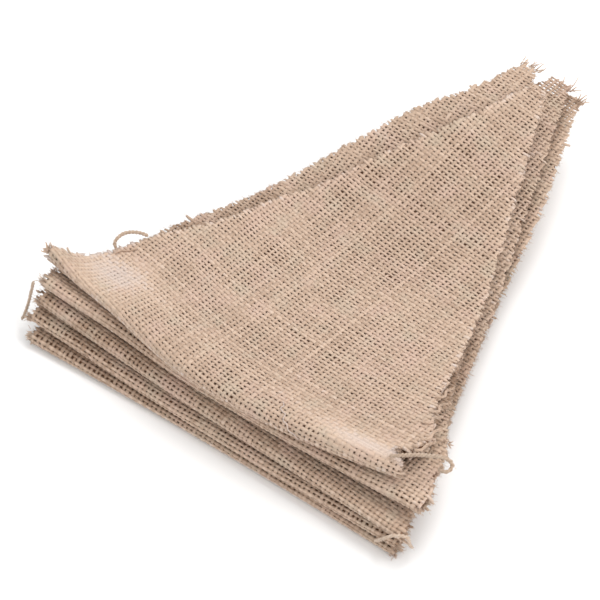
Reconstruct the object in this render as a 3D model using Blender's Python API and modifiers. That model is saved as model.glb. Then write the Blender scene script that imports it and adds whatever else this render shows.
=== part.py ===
"""Fabric bunting: five hessian flags, each folded once, stacked with their folds together.

Every flag is cut from one flat diamond of hessian and folded across its widest line. The
fold lies at the front (-Y), the two cut layers run back (+Y) to a blunt point, and the
layers rise off the table towards their points. Lengths in the tables are in millimetres
and are turned into metres when the shapes are built. +Z is up, +X runs along the folds.
"""

import math
import random
from collections import namedtuple

import bmesh
import bpy
from mathutils import Vector

MM = 0.001
OBJECT_NAME = "fabric_bunting"

# Cloth and cutting
CLOTH_THICKNESS = 1.3
TOOTH_PITCH = 6.0
TOOTH_DEPTH = 2.0
POINT_WIDTH = 8.0
END_WIDTH = 9.0
CUTTING_SEED = 7

# Fold section
FOLD_DEPTH = 3.2
FOLD_STEPS = 6
ROW_PITCH = 17.0
COLUMN_PITCH = 24.0

# Loose yarns pulled from the cut edges
YARN_DIAMETER = 1.3
YARN_STEP = 2.0

# Middle of the stack's outline, measured from the top flag's own axes
STACK_CENTRE = (5.91, 85.34)

# Rows of the stack, as distances behind the slanting line that the folds share
FOLD_LINE_Y = -20.0
FOLD_LINE_SLOPE = 0.13
BACK_ROW = 40.0
MIDDLE_ROW = 95.0
POINT_ROW = 215.0
HALF_WIDTH = 95.0
MIDDLE_TILT = 0.08
POINT_TILT = -0.06

# Each flag in plan: the two ends of its fold, how far the fold bows forward between them,
# where the points of its upper and lower layers lie, and how far its left and right cuts
# swell past a straight line. Bottom flag first.
Flag = namedtuple(
    "Flag", "name left_x left_y right_x right_y bow upper_x upper_y lower_x lower_y"
            " left_swell right_swell"
)
FLAGS = (
    Flag("flag_5", -84.0, -39.2, 100.0, -10.5, -1.5, -16.0, 199.0, -12.0, 191.0, 3.0, 0.0),
    Flag("flag_4", -87.5, -35.0, 101.0, -10.0, 1.0, -5.0, 210.0, -8.0, 204.0, 3.0, -1.0),
    Flag("flag_3", -86.5, -30.7, 103.0, -9.5, 0.0, -10.0, 210.0, -14.0, 203.0, 3.0, 1.0),
    Flag("flag_2", -87.5, -27.5, 103.0, -0.5, 1.5, -23.0, 201.0, -20.0, 194.0, 5.0, 0.0),
    Flag("flag_1", -93.0, -19.0, 90.5, 2.6, 11.0, -7.0, 189.5, -11.0, 184.0, 2.0, 5.0),
)

# Where a cut or a fold strays from its even line: the place, as the distance behind the fold
# for a cut and across the flag for a fold, the reach to both sides, and how far outwards
Trim = namedtuple("Trim", "flag side place reach outwards")
TRIMS = (
    Trim("flag_1", "right", 24.0, 9.0, 4.5),
    Trim("flag_1", "right", 9.0, 5.0, -8.0),
    Trim("flag_1", "fold", -54.0, 26.0, -2.8),
    Trim("flag_2", "fold", -60.0, 30.0, -1.5),
    Trim("flag_2", "right", 28.0, 14.0, 4.5),
    Trim("flag_2", "right", 9.0, 5.0, 2.0),
    Trim("flag_4", "right", 180.0, 42.0, 4.0),
)

# Each flag in height, at the left, middle and right of the fold, at the same three places
# a hand's breadth behind it, half way back, and at the points: the air under the flag,
# and the height that its two layers take up.
Loft = namedtuple(
    "Loft", "fold_left fold_centre fold_right back_left back_centre back_right middle point"
)
AIR_BELOW = {
    "flag_5": Loft(0.0, 0.0, 0.0, 0.0, 0.0, 0.0, 0.0, 21.0),
    "flag_4": Loft(0.5, 0.5, 0.5, 0.6, 1.0, 1.2, 1.2, 1.2),
    "flag_3": Loft(0.5, 0.5, 0.5, 0.6, 1.0, 1.2, 1.2, 1.2),
    "flag_2": Loft(0.6, 0.5, 3.5, 0.6, 1.0, 3.5, 1.2, 1.2),
    "flag_1": Loft(0.6, 0.5, 0.5, 0.6, 1.0, 1.2, 1.2, 1.2),
}
LAYER_LOFT = {
    "flag_5": Loft(7.5, 4.8, 4.8, 4.2, 5.0, 5.6, 5.0, 4.4),
    "flag_4": Loft(7.4, 5.1, 5.3, 4.2, 5.0, 5.6, 5.0, 4.6),
    "flag_3": Loft(7.4, 6.5, 6.0, 4.2, 5.0, 5.6, 5.0, 4.6),
    "flag_2": Loft(6.4, 5.7, 6.0, 4.2, 5.0, 5.6, 5.0, 4.6),
    "flag_1": Loft(8.0, 8.0, 8.6, 4.4, 5.4, 6.4, 5.4, 5.0),
}

# Swells pressed into the upper layer of the top flag: the curled left corner, the dip
# behind it and the soft ridge along the right half of the fold.
Swell = namedtuple("Swell", "x y reach_x reach_y height")
TOP_FLAG = "flag_1"
SWELLS = (
    Swell(-90.0, -23.0, 14.0, 11.0, 6.0),
    Swell(-76.0, -4.0, 14.0, 12.0, -2.0),
    Swell(66.0, -4.0, 34.0, 9.0, 3.0),
)

# Yarns that have worked loose: each row is a name and its route, in plan and height
Yarn = namedtuple("Yarn", "name route")
YARNS = (
    Yarn("yarn_back_left", (
        (-81.5, 8.4, 26.1), (-82.8, 9.5, 28.6), (-82.8, 13.8, 29.8), (-81.0, 17.7, 29.4),
        (-78.9, 20.7, 28.1), (-76.4, 22.4, 26.9),
    )),
    Yarn("yarn_curl_right", (
        (83.9, 3.5, 36.9), (87.3, 4.9, 39.0), (91.5, 9.3, 39.6), (96.1, 15.3, 37.6),
        (98.8, 19.0, 35.6), (101.0, 20.4, 33.8), (102.3, 19.8, 32.3), (102.3, 17.7, 31.4),
        (100.8, 16.5, 31.0), (98.6, 15.9, 31.0),
    )),
    Yarn("yarn_low_right", (
        (92.3, -12.3, 5.2), (96.6, -14.0, 11.3), (101.7, -12.6, 17.3), (105.6, -8.6, 16.6),
        (105.2, -6.4, 9.6), (105.4, -4.4, 5.4),
    )),
    Yarn("yarn_left", (
        (-90.8, -29.2, 27.0), (-91.0, -30.6, 22.0), (-92.1, -31.9, 15.0),
        (-92.7, -34.1, 9.0), (-94.0, -35.0, 5.0),
    )),
    Yarn("yarn_left_link", ((-89.6, -29.3, 22.4), (-88.9, -28.6, 21.6), (-88.2, -27.7, 20.8))),
)

CLOTH_COLOUR = (0.62, 0.50, 0.39, 1.0)
YARN_COLOUR = (0.58, 0.45, 0.34, 1.0)


def clear_scene():
    """Remove every object of the open file."""
    for old in list(bpy.data.objects):
        bpy.data.objects.remove(old, do_unlink=True)


def make_collection(name):
    """Return a new collection linked to the scene."""
    collection = bpy.data.collections.new(name)
    bpy.context.scene.collection.children.link(collection)
    return collection


def make_material(name, colour, roughness):
    """Return a Principled material."""
    material = bpy.data.materials.new(name)
    material.use_nodes = True
    shader = material.node_tree.nodes["Principled BSDF"]
    shader.inputs["Base Color"].default_value = colour
    shader.inputs["Roughness"].default_value = roughness
    shader.inputs["Metallic"].default_value = 0.0
    return material


def smooth(value):
    """Ease a value from 0 to 1 with level ends."""
    t = min(max(value, 0.0), 1.0)
    return t * t * (3.0 - 2.0 * t)


def station_weights(x, y):
    """Return the share that each station of a Loft has at a place in plan."""
    behind = y - FOLD_LINE_Y - FOLD_LINE_SLOPE * x
    past_fold = smooth(behind / BACK_ROW)
    past_back = smooth((behind - BACK_ROW) / (MIDDLE_ROW - BACK_ROW))
    past_middle = smooth((behind - MIDDLE_ROW) / (POINT_ROW - MIDDLE_ROW))
    across = max(-1.0, min(1.0, x / HALF_WIDTH))
    side = abs(across) ** 1.5
    left = side if across < 0.0 else 0.0
    right = side if across > 0.0 else 0.0
    fold = 1.0 - past_fold
    back = past_fold - past_back
    return Loft(fold * left, fold * (1.0 - side), fold * right,
                back * left, back * (1.0 - side), back * right,
                past_back - past_middle, past_middle)


def blend(loft, weights):
    """Return a Loft's height for a set of station weights."""
    return sum(height * share for height, share in zip(loft, weights))


def layer_heights(name, x, y):
    """Return the undersides and topsides of a flag's slab of the stack at (x, y)."""
    weights = station_weights(x, y)
    low = 0.0
    for flag in FLAGS:
        low += blend(AIR_BELOW[flag.name], weights)
        high = low + blend(LAYER_LOFT[flag.name], weights)
        if flag.name == name:
            break
        low = high
    tilt = 1.0 + x / HALF_WIDTH * (MIDDLE_TILT * weights.middle + POINT_TILT * weights.point)
    return low * tilt, high * tilt


def swell_height(x, y):
    """Return how far the top flag's upper layer is raised at (x, y)."""
    total = 0.0
    for swell in SWELLS:
        reach = ((x - swell.x) / swell.reach_x) ** 2 + ((y - swell.y) / swell.reach_y) ** 2
        total += swell.height * math.exp(-reach)
    return total


def stray(flag, side, place):
    """Return how far a cut or a fold strays outwards at a place along it."""
    total = 0.0
    for trim in TRIMS:
        if (trim.flag, trim.side) == (flag.name, side):
            total += trim.outwards * math.exp(-((place - trim.place) / trim.reach) ** 2)
    return total


class FlagFrame:
    """The axes of one flag: along its fold, and back from the fold to the points."""

    def __init__(self, flag):
        self.flag = flag
        left = Vector((flag.left_x, flag.left_y))
        right = Vector((flag.right_x, flag.right_y))
        self.middle = (left + right) / 2.0
        self.width = (right - left).length
        self.along = (right - left).normalized()
        self.back = Vector((-self.along.y, self.along.x))
        self.upper = self.to_flag(flag.upper_x, flag.upper_y)
        self.lower = self.to_flag(flag.lower_x, flag.lower_y)
        self.length = max(self.upper.y, self.lower.y)
        self.nose_height = LAYER_LOFT[flag.name].fold_centre - CLOTH_THICKNESS
        self.nose_arc = math.pi * math.hypot(FOLD_DEPTH, self.nose_height / 2.0) / math.sqrt(2.0)

    def to_flag(self, x, y):
        """Return a place in plan as (along the fold, back from the fold)."""
        offset = Vector((x, y)) - self.middle
        return Vector((offset.dot(self.along), offset.dot(self.back)))

    def cloth_reach(self, back):
        """Return how much cloth reaches a place that far behind the fold."""
        return back - FOLD_DEPTH + self.nose_arc / 2.0

    def place(self, across, cloth):
        """Return the folded position of a point of the flat diamond, in millimetres."""
        half_arc = self.nose_arc / 2.0
        turn = math.pi / 2.0 * max(-1.0, min(1.0, cloth / half_arc))
        behind = FOLD_DEPTH * (1.0 - math.cos(turn)) + max(0.0, abs(cloth) - half_arc)
        share = min(1.0, abs(2.0 * across / self.width))
        bow = self.flag.bow * (1.0 - share * share) + stray(self.flag, "fold", across)
        bow *= 1.0 - behind / self.length
        plan = self.middle + self.along * across + self.back * (behind - bow)
        low, high = layer_heights(self.flag.name, plan.x, plan.y)
        low += CLOTH_THICKNESS / 2.0
        high -= CLOTH_THICKNESS / 2.0
        if self.flag.name == TOP_FLAG:
            high += swell_height(plan.x, plan.y)
        height = (low + high) / 2.0 + (high - low) / 2.0 * math.sin(turn)
        return Vector((plan.x, plan.y, height))


def cut_edge(flag, start, end, chance):
    """Return a toothed cut from start to end of the flat cloth, without its last point."""
    side = "left" if start.x + end.x < 0.0 else "right"
    swell = flag.left_swell if side == "left" else flag.right_swell
    run = end - start
    outward = Vector((run.y, -run.x)).normalized()
    teeth = max(2, round(run.length / TOOTH_PITCH))
    points = []
    for step in range(2 * teeth):
        share = step / (2 * teeth)
        place = start + run * share
        bulge = swell * 4.0 * share * (1.0 - share) + stray(flag, side, abs(place.y))
        depth = TOOTH_DEPTH * chance.uniform(0.6, 1.0) if step % 2 else 0.0
        slip = TOOTH_PITCH * chance.uniform(-0.12, 0.12) if step else 0.0
        points.append(place + outward * (bulge - depth) + run.normalized() * slip)
    return points


def cut_outline(frame, chance):
    """Return the flat diamond's outline, anticlockwise from the fold's left end."""
    half = frame.width / 2.0
    blunt = Vector((POINT_WIDTH / 2.0, 0.0))
    end_cut = Vector((0.0, END_WIDTH / 2.0))
    left = Vector((-half, 0.0))
    right = Vector((half, 0.0))
    upper = Vector((frame.upper.x, frame.cloth_reach(frame.upper.y)))
    lower = Vector((frame.lower.x, -frame.cloth_reach(frame.lower.y)))
    corners = (left - end_cut, lower - blunt, lower + blunt, right - end_cut,
               right + end_cut, upper + blunt, upper - blunt, left + end_cut)
    outline = []
    for index, start in enumerate(corners):
        end = corners[(index + 1) % len(corners)]
        if (end - start).length > max(POINT_WIDTH, END_WIDTH) * 1.5:
            outline += cut_edge(frame.flag, start, end, chance)
        else:
            outline.append(start)
    return outline


def crease_lines(frame):
    """Return where the flat cloth is scored across, from one point to the other."""
    half_arc = frame.nose_arc / 2.0
    lines = [half_arc * (2.0 * step / FOLD_STEPS - 1.0) for step in range(FOLD_STEPS + 1)]
    reach = half_arc + ROW_PITCH
    while reach < frame.length:
        lines += [-reach, reach]
        reach += ROW_PITCH
    return lines


def score(mesh, point, normal):
    """Split every face of a flat mesh along one straight line."""
    geometry = list(mesh.verts) + list(mesh.edges) + list(mesh.faces)
    bmesh.ops.bisect_plane(mesh, geom=geometry, dist=0.01, plane_co=point, plane_no=normal)


def make_flag(flag, chance, collection):
    """Cut one flag flat, fold it and give the cloth its thickness."""
    frame = FlagFrame(flag)
    mesh = bmesh.new()
    corners = [mesh.verts.new((point.x, point.y, 0.0)) for point in cut_outline(frame, chance)]
    mesh.faces.new(corners)
    for line in crease_lines(frame):
        score(mesh, (0.0, line, 0.0), (0.0, 1.0, 0.0))
    columns = int(frame.width / 2.0 / COLUMN_PITCH)
    for column in range(-columns, columns + 1):
        score(mesh, (column * COLUMN_PITCH, 0.0, 0.0), (1.0, 0.0, 0.0))
    bmesh.ops.triangulate(mesh, faces=mesh.faces)
    for vertex in mesh.verts:
        place = frame.place(vertex.co.x, vertex.co.y)
        plan = place - Vector((STACK_CENTRE[0], STACK_CENTRE[1], 0.0))
        vertex.co = plan * MM
    bmesh.ops.recalc_face_normals(mesh, faces=mesh.faces)
    data = bpy.data.meshes.new(flag.name)
    mesh.to_mesh(data)
    mesh.free()
    data.shade_smooth()
    piece = bpy.data.objects.new(flag.name, data)
    data.materials.append(make_material(flag.name + "_hessian", CLOTH_COLOUR, 0.95))
    collection.objects.link(piece)
    thicken = piece.modifiers.new("Cloth", "SOLIDIFY")
    thicken.thickness = CLOTH_THICKNESS * MM
    thicken.offset = 0.0
    return piece


def smooth_route(points):
    """Return evenly spaced places along a smooth curve through a route's points."""
    knots = [Vector(point) for point in points]
    knots = [2.0 * knots[0] - knots[1]] + knots + [2.0 * knots[-1] - knots[-2]]
    fine = []
    for before, start, end, after in zip(knots, knots[1:], knots[2:], knots[3:]):
        steps = max(1, round((end - start).length / YARN_STEP))
        for step in range(steps):
            t = step / steps
            fine.append(0.5 * (2.0 * start + (end - before) * t
                               + (2.0 * before - 5.0 * start + 4.0 * end - after) * t ** 2
                               + (3.0 * start - before - 3.0 * end + after) * t ** 3))
    fine.append(knots[-2])
    return fine


def make_yarn(yarn, collection):
    """Lay one loose yarn along its route as a round tube."""
    route = smooth_route(yarn.route)
    curve = bpy.data.curves.new(yarn.name, "CURVE")
    curve.dimensions = "3D"
    curve.bevel_depth = YARN_DIAMETER / 2.0 * MM
    curve.bevel_resolution = 1
    curve.use_fill_caps = True
    spline = curve.splines.new("POLY")
    spline.points.add(len(route) - 1)
    for point, place in zip(spline.points, route):
        plan = place - Vector((STACK_CENTRE[0], STACK_CENTRE[1], 0.0))
        point.co = (*(plan * MM), 1.0)
    curve.materials.append(make_material(yarn.name + "_jute", YARN_COLOUR, 0.95))
    piece = bpy.data.objects.new(yarn.name, curve)
    collection.objects.link(piece)
    return piece


def build():
    """Build the whole stack."""
    clear_scene()
    collection = make_collection(OBJECT_NAME)
    chance = random.Random(CUTTING_SEED)
    for flag in FLAGS:
        make_flag(flag, chance, collection)
    for yarn in YARNS:
        make_yarn(yarn, collection)


build()
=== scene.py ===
"""Fabric bunting: five folded hessian flags, woven yarn by yarn over their solids.

Each flag is drawn over the folded solid of the frame as a thin dark sheet of painted
shade, which shows through the holes between the yarns in place of the shadowed layers
below, the two systems of jute yarns that cross in plain weave above and below it, and
the fluff of its cuts. The yarns' tones carry painted shade and painted highlights as well
as their own differences. Lengths in the tables are millimetres in the axes of the cut
flags, the same as the solids were made from: +X along the folds, +Y back to the points,
+Z up.
"""

import logging
import math
from collections.abc import Iterator
from dataclasses import dataclass, field
from enum import Enum

import bpy
import numpy as np
from mathutils import Matrix, Vector

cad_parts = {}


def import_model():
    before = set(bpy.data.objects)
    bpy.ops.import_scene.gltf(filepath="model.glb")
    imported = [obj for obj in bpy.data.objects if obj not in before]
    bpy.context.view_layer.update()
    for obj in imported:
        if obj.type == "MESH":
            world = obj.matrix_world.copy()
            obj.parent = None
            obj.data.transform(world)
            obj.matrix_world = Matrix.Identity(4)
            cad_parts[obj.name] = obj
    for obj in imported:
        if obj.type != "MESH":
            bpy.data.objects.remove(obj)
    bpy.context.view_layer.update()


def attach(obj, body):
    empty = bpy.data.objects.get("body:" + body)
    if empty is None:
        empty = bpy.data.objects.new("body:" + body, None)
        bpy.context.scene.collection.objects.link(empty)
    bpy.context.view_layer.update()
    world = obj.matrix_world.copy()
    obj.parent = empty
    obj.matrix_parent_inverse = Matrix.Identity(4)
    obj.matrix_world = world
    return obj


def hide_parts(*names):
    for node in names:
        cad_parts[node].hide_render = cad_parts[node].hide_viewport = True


MM = 0.001
BODY = "root"
LOG = logging.getLogger("fabric_bunting")

# The lowest point of any yarn, and how much wider and taller than its half sizes a
# four-sided section is drawn, so that it fills what the round yarn would
LOWEST = 0.02
BLUNT_SECTION = (1.25, 1.15)

# Seeds of the random draws: the lowest flag's, from which the others count up, what is
# added for a flag's fluff, and the loose yarns'
FLAG_SEED = 100
FLUFF_SEED = 1000
YARN_SEED = 5

# A direction that no yarn runs along, which gives free yarns their sides
ASKEW = np.array((0.31, 0.22, 0.93))

Triple = tuple[float, float, float]
Pick = tuple[slice | int, slice | int]


@dataclass(frozen=True)
class Flag:
    """One flag in plan: the ends of its fold, its bow, its points and its cuts' swell."""

    name: str
    left_x: float
    left_y: float
    right_x: float
    right_y: float
    bow: float
    upper_x: float
    upper_y: float
    lower_x: float
    lower_y: float
    left_swell: float
    right_swell: float


FLAGS = (
    Flag("flag_5", -84.0, -39.2, 100.0, -10.5, -1.5, -16.0, 199.0, -12.0, 191.0, 3.0, 0.0),
    Flag("flag_4", -87.5, -35.0, 101.0, -10.0, 1.0, -5.0, 210.0, -8.0, 204.0, 3.0, -1.0),
    Flag("flag_3", -86.5, -30.7, 103.0, -9.5, 0.0, -10.0, 210.0, -14.0, 203.0, 3.0, 1.0),
    Flag("flag_2", -87.5, -27.5, 103.0, -0.5, 1.5, -23.0, 201.0, -20.0, 194.0, 5.0, 0.0),
    Flag("flag_1", -93.0, -19.0, 90.5, 2.6, 11.0, -7.0, 189.5, -11.0, 184.0, 2.0, 5.0),
)
TOP_FLAG = "flag_1"
BOTTOM_FLAG = "flag_5"


class Side(Enum):
    """The edges of a folded flag."""

    LEFT = "left"
    RIGHT = "right"
    FOLD = "fold"


@dataclass(frozen=True)
class Trim:
    """A place where a cut or a fold strays from its even line."""

    flag: str
    side: Side
    place: float
    reach: float
    outwards: float


TRIMS = (
    Trim("flag_1", Side.RIGHT, 24.0, 9.0, 4.5),
    Trim("flag_1", Side.RIGHT, 10.5, 3.8, -6.5),
    Trim("flag_1", Side.RIGHT, 90.0, 34.0, 1.5),
    Trim("flag_2", Side.LEFT, 12.0, 8.0, 1.4),
    Trim("flag_2", Side.LEFT, 60.0, 18.0, 3.0),
    Trim("flag_2", Side.LEFT, 196.0, 18.0, -4.5),
    Trim("flag_1", Side.FOLD, -54.0, 26.0, -2.8),
    Trim("flag_1", Side.LEFT, 73.0, 20.0, -6.5),
    Trim("flag_1", Side.LEFT, 118.0, 26.0, -5.5),
    Trim("flag_1", Side.LEFT, 168.0, 24.0, -6.0),
    Trim("flag_2", Side.FOLD, -60.0, 30.0, -1.5),
    Trim("flag_2", Side.RIGHT, 28.0, 14.0, 4.5),
    Trim("flag_2", Side.RIGHT, 9.0, 5.0, 2.0),
    Trim("flag_4", Side.RIGHT, 180.0, 42.0, 4.0),
)


@dataclass(frozen=True)
class Loft:
    """Heights at eight stations: three at the fold, three behind it, middle and points."""

    fold_left: float
    fold_centre: float
    fold_right: float
    back_left: float
    back_centre: float
    back_right: float
    middle: float
    point: float

    def values(self) -> tuple[float, ...]:
        """Return the heights in the order of the stations."""
        return (self.fold_left, self.fold_centre, self.fold_right, self.back_left,
                self.back_centre, self.back_right, self.middle, self.point)


AIR_BELOW = {
    "flag_5": Loft(0.0, 0.0, 0.0, 0.0, 0.0, 0.0, 0.0, 21.0),
    "flag_4": Loft(0.5, 0.5, 0.5, 0.6, 1.0, 1.2, 1.2, 1.2),
    "flag_3": Loft(0.5, 0.5, 0.5, 0.6, 1.0, 1.2, 1.2, 1.2),
    "flag_2": Loft(0.6, 0.5, 3.5, 0.6, 1.0, 3.5, 1.2, 1.2),
    "flag_1": Loft(0.6, 0.5, 0.5, 0.6, 1.0, 1.2, 1.2, 1.2),
}
LAYER_LOFT = {
    "flag_5": Loft(7.5, 4.8, 4.8, 4.2, 5.0, 5.6, 5.0, 4.4),
    "flag_4": Loft(7.4, 5.1, 5.3, 4.2, 5.0, 5.6, 5.0, 4.6),
    "flag_3": Loft(7.4, 6.5, 6.0, 4.2, 5.0, 5.6, 5.0, 4.6),
    "flag_2": Loft(6.4, 5.7, 6.0, 4.2, 5.0, 5.6, 5.0, 4.6),
    "flag_1": Loft(8.0, 8.0, 8.6, 4.4, 5.4, 6.4, 5.4, 5.0),
}


@dataclass(frozen=True)
class Swell:
    """A soft rise or dip of the top flag's upper layer."""

    x: float
    y: float
    reach_x: float
    reach_y: float
    height: float


SWELLS = (
    Swell(-90.0, -23.0, 14.0, 11.0, 6.0),
    Swell(-76.0, -4.0, 14.0, 12.0, -2.0),
    Swell(66.0, -4.0, 34.0, 9.0, 3.0),
    Swell(-24.0, 160.0, 7.0, 22.0, 1.8),
    Swell(-38.0, 112.0, 7.0, 18.0, 1.2),
    Swell(-57.0, 62.0, 8.0, 18.0, 1.4),
)


@dataclass(frozen=True)
class Stack:
    """Sizes that the whole stack shares."""

    centre: tuple[float, float] = (5.91, 85.34)
    fold_line_y: float = -20.0
    fold_line_slope: float = 0.13
    back_row: float = 40.0
    middle_row: float = 95.0
    point_row: float = 215.0
    half_width: float = 95.0
    side_power: float = 1.5
    middle_tilt: float = 0.08
    point_tilt: float = -0.06
    fold_depth: float = 3.2
    solid_thickness: float = 1.3
    point_width: float = 8.0
    end_width: float = 9.0


STACK = Stack()


@dataclass(frozen=True)
class Weave:
    """The plain weave: pitches, yarn sections, crimps and unevenness.

    A cell is how many crossings, back and across, one patch of the unevenness covers.
    """

    pitch_across: float = 2.35
    pitch_back: float = 1.71
    half_width_across: float = 0.675
    half_width_back: float = 0.87
    lower_cover: float = 0.97
    half_thickness: float = 0.36
    crimp_across: float = 0.19
    crimp_back: float = 0.25
    ride: float = 0.04
    waist: float = 0.08
    knuckle: float = 0.8
    # How deep under the yarns the dark sheet of painted shade lies
    sheet_depth: float = 0.72
    spare_across: float = 8.0
    spare_back: float = 4.0
    wander: float = 0.20
    wander_cell: tuple[int, int] = (9, 7)
    yarn_noise: float = 0.09
    width_noise: float = 0.13
    width_most: float = 2.0
    cover_noise: float = 0.15
    cover_cell: tuple[int, int] = (6, 5)
    slip: float = 0.06
    hidden_inset: float = 12.5
    hidden_above: float = 22.0
    hidden_below: float = 10.0
    hidden_stride: int = 8
    fine_rings: int = 3
    fine_from: float = -6.0
    fold_rings: int = 2
    fold_reach: float = 7.0


WEAVE = Weave()

# How far each flag's yarns run askew to its fold, as a slope
GRAIN = {"flag_5": 0.02, "flag_4": -0.02, "flag_3": 0.03, "flag_2": 0.01, "flag_1": 0.105}


@dataclass(frozen=True)
class Shade:
    """Tones of the yarns, painted shade and highlights among them, and their noise.

    Painted shade falls under the flag above and a little past its edges, and on the lower
    flags' dark sheets at the folds; near the fold the yarn on top at a crossing gets a
    painted highlight and the one beneath painted shade; the top flag's cuts have a paler
    rim. A usual yarn has tone 0, a paler one more and a darker one less.
    """

    # Painted shadow of the flag above: its tone, its reach past the right cut and the fold, past
    # the left cut, and where behind that flag's fold it sets in
    contact_shadow: float = -2.7
    contact_reach: float = 2.2
    contact_reach_left: float = 4.8
    contact_start: float = 6.0
    rim: float = 1.7
    rim_reach: float = 1.8
    # Painted shade on the lower flags' dark sheets near the fold, and how far it reaches
    fold: float = -0.4
    fold_reach: float = 22.0
    # Painted highlight on the yarn on top at each crossing near the fold and painted shade on the
    # one beneath, and how far from the fold it reaches
    crossing_shading: float = 2.0
    crossing_shading_reach: float = 20.0
    yarn_noise: float = 0.6
    yarn_most: float = 1.0
    ring_noise: float = 0.35
    lean: float = 0.2


SHADE = Shade()


@dataclass(frozen=True)
class Fray:
    """How far yarn ends stand out of a cut, how they bend, and their fibres."""

    least: float = -0.3
    most: float = 0.6
    long_share: float = 0.04
    long_most: float = 3.0
    fold_most: float = 2.2
    fold_reach: float = 12.0
    shortest: float = 0.25
    lowest: float = 0.5
    droop: float = 0.35
    droop_share: float = 0.15
    spread: float = 0.55
    bend_share: float = 0.25
    neck_place: float = 0.55
    neck_bend: float = 0.3
    neck_width: float = 0.95
    end_width: float = 0.72
    fibres: int = 4
    fibre_most: float = 1.7
    fibre_radius: float = 0.07
    fibre_reach: float = 0.3
    tuft_reach: float = 0.8


FRAY = Fray()


@dataclass(frozen=True)
class Patch:
    """A patch of a flag's cloth: paler or darker, mostly as painted highlight and painted shade,
    closer or more open, and flatter.
    """

    flag: str
    across: float
    cloth: float
    reach_across: float
    reach_cloth: float
    tone: float
    cover: float
    flatness: float = 0.0


PATCHES = (
    # Top flag's raised left corner and fold ridge: closer and flatter weave, paler partly in
    # their own colour and partly as a painted highlight where the light falls
    Patch("flag_1", -68.0, 18.0, 20.0, 13.0, 2.7, 0.26, 0.70),
    Patch("flag_1", 74.0, 7.5, 24.0, 5.5, 2.4, 0.55, 0.95),
    # Painted highlight on the top flag's nose, so that it reads as lit like the top
    Patch("flag_1", -30.0, 0.0, 70.0, 4.0, 0.6, 0.06, 0.2),
    Patch("flag_1", 10.0, 120.0, 60.0, 45.0, -0.5, -0.03),
    # Painted shade on the lower layer under each flag's nose
    Patch("flag_1", 0.0, -6.0, 200.0, 3.5, -1.6, -0.06),
    *(Patch(name, 0.0, -6.0, 200.0, 4.5, -2.2, -0.06) for name in ("flag_2", "flag_3", "flag_4")),
    # Painted shade in the hollow under the top flag's nose
    Patch("flag_2", -30.0, 10.0, 75.0, 9.0, -2.8, 0.02),
    Patch("flag_2", 50.0, 6.0, 32.0, 7.0, -2.2, 0.02),
    # Painted shade on the upper layers behind the noses, under the flag above, and in the left
    # ends of the folds
    *(Patch(name, 0.0, 9.0, 200.0, 9.0, -2.2, -0.02) for name in ("flag_3", "flag_4", "flag_5")),
    *(Patch(name, -70.0, 5.0, 34.0, 9.0, -1.8, -0.06) for name in ("flag_3", "flag_4", "flag_5")),
    # Painted shade on flag 2's band beyond the top flag's left cut
    Patch("flag_2", -68.0, 64.0, 11.0, 16.0, -1.8, -0.06),
    Patch("flag_2", -56.0, 96.0, 11.0, 18.0, -1.2, -0.04),
    # Painted light on the lower flags' bands near their right cuts
    Patch("flag_3", 45.0, 150.0, 16.0, 60.0, 1.0, 0.0),
    Patch("flag_4", 48.0, 140.0, 18.0, 70.0, 1.2, 0.0),
    Patch("flag_5", 48.0, 130.0, 18.0, 70.0, 1.0, 0.0),
    # More open mesh at the points of flags 3 and 4, with painted shade on their backlit yarns
    Patch("flag_3", 5.0, 224.0, 14.0, 13.0, -1.0, -0.36),
    Patch("flag_3", 3.0, -219.0, 14.0, 16.0, -1.0, -0.55),
    Patch("flag_4", 10.0, 224.0, 12.0, 13.0, -1.0, -0.46),
    Patch("flag_4", 8.0, -219.0, 14.0, 16.0, -1.0, -0.55),
)


@dataclass(frozen=True)
class Margin:
    """How far a flag's dark sheet of painted shade stays inside its cuts and its points."""

    cuts: float
    points: float


MARGINS = {
    "flag_5": Margin(1.0, 5.0),
    "flag_4": Margin(1.1, 16.0),
    "flag_3": Margin(1.1, 16.0),
    "flag_2": Margin(0.9, 4.0),
    "flag_1": Margin(0.7, 3.0),
}


@dataclass(frozen=True)
class Tuft:
    """A bunch of loose fibres at a cut of a flag: its place, direction, size and number.

    The side runs from -1 at the left cut to 1 at the right cut.
    """

    flag: str
    side: float
    cloth: float
    direction: Triple
    length: float
    fibres: int
    radius: float
    tone: float


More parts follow.
